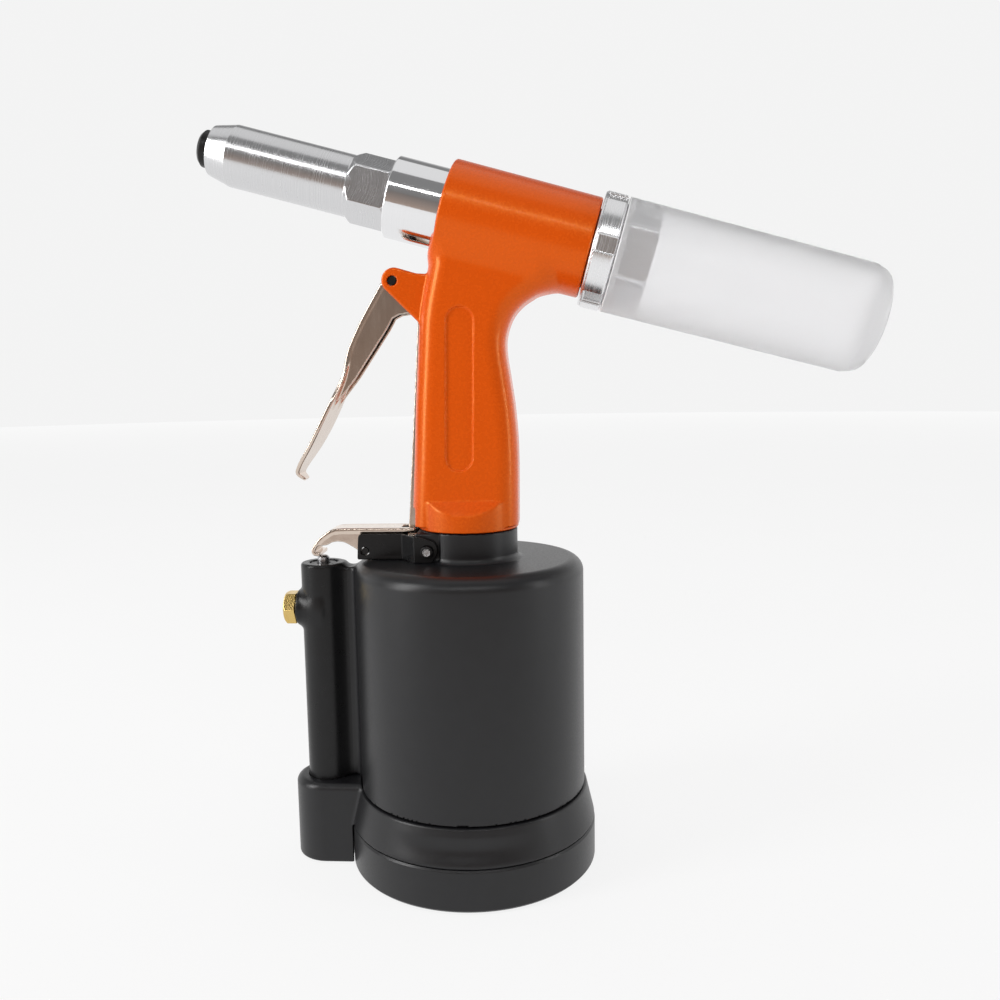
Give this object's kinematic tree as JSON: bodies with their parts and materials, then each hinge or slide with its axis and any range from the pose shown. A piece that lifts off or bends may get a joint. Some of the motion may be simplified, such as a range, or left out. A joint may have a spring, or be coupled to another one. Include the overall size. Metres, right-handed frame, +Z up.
{
  "type": "pneumatic rivet gun",
  "caption": "Air-hydraulic blind rivet gun: tilted barrel with jaws, pistol handle with long trigger, air cylinder base, side valve and mandrel bottle.",
  "frame": {"origin": "centre of the foot's underside, on the axis of the air cylinder", "axes": "+Z up along the air cylinder; -X towards the nose; the XZ plane is the mid plane of handle and barrel"},
  "size_m": [0.2588, 0.0982, 0.2893],
  "materials": {
    "orange_paint": "gloss",
    "black_paint": "satin",
    "chrome": "polished",
    "steel": "satin",
    "nickel": "polished",
    "aluminium": "machined",
    "black_steel": "blackened",
    "brass": "machined",
    "frosted_plastic": "frosted",
    "rubber": "matt",
    "sintered": "sintered"
  },
  "bodies": {
    "frame": {"body": "orange_paint", "head_sleeve": "chrome", "nose_housing": "steel", "nose_tip": "black_steel", "rear_cap": "aluminium", "guide_tube": "steel", "return_spring": "steel", "trigger_pin": "black_steel", "lever_pin": "black_steel", "lever_bracket": "black_paint", "bracket_screw_near": "black_steel", "bracket_screw_far": "black_steel", "oil_fill_screw": "steel", "air_cylinder": "black_paint", "cylinder_collar": "black_paint", "bottom_cover": "black_paint", "foot_pad": "rubber", "ram_gland": "brass", "ram_seal": "rubber", "valve_bush": "black_steel", "valve_spring": "steel", "valve_spring_seat": "steel", "inlet_fitting": "brass", "exhaust_muffler": "sintered"},
    "trigger": {"trigger": "nickel", "link_pin": "steel"},
    "pull_rod": {"pull_rod": "nickel"},
    "rocker_lever": {"rocker_lever": "nickel"},
    "valve_stem": {"valve_stem": "steel", "valve_seal": "rubber"},
    "air_piston": {"air_piston": "aluminium", "air_piston_seal": "rubber", "piston_nut": "steel", "ram": "chrome"},
    "puller": {"pull_piston": "steel", "pull_piston_seal": "rubber", "jaw_case": "steel"},
    "jaws": {"jaw_1": "steel", "jaw_2": "steel", "jaw_3": "steel", "jaw_pusher": "steel", "pusher_spring": "steel"},
    "bottle": {"bottle": "frosted_plastic"}
  },
  "joints": [
    {"name": "trigger_pivot", "type": "hinge", "parent": "frame", "child": "trigger", "pos_m": [-0.0263, 0, 0.2293], "axis": [0, -1, 0], "range_deg": [0, 14]},
    {"name": "pull_rod_slide", "type": "slide", "parent": "frame", "child": "pull_rod", "axis": [0.0699, 0, 0.9976], "range_m": [0, 0.003]},
    {"name": "lever_rock", "type": "hinge", "parent": "frame", "child": "rocker_lever", "pos_m": [-0.0401, 0, 0.1261], "axis": [0, -1, 0], "range_deg": [0, 9.5]},
    {"name": "valve_stem_slide", "type": "slide", "parent": "frame", "child": "valve_stem", "axis": [0, 0, -1], "range_m": [0, 0.003], "stiffness_N_per_m": 1000, "springref_m": -0.006, "deforming": ["valve_spring"]},
    {"name": "air_piston_stroke", "type": "slide", "parent": "frame", "child": "air_piston", "axis": [0, 0, 1], "range_m": [0, 0.048]},
    {"name": "pull_stroke", "type": "slide", "parent": "frame", "child": "puller", "axis": [0.9632, 0, -0.2689], "range_m": [0, 0.0161], "stiffness_N_per_m": 2500, "springref_m": -0.008, "deforming": ["return_spring"]},
    {"name": "jaw_grip", "type": "slide", "parent": "puller", "child": "jaws", "axis": [-0.9632, 0, 0.2689], "range_m": [0, 0.0016], "deforming": ["pusher_spring"]},
    {"name": "bottle_pull_off", "type": "slide", "parent": "frame", "child": "bottle", "axis": [0.9632, 0, -0.2689], "range_m": [0, 0.03]}
  ],
  "couplings": [
    {"joint": "pull_rod_slide", "follows": "trigger_pivot", "m_per_rad": 0.0109},
    {"joint": "lever_rock", "follows": "trigger_pivot", "ratio": 0.605},
    {"joint": "valve_stem_slide", "follows": "trigger_pivot", "m_per_rad": 0.01048},
    {"joint": "pull_stroke", "follows": "air_piston_stroke", "ratio": 0.33333},
    {"joint": "jaw_grip", "follows": "air_piston_stroke", "ratio": 0.03125}
  ]
}
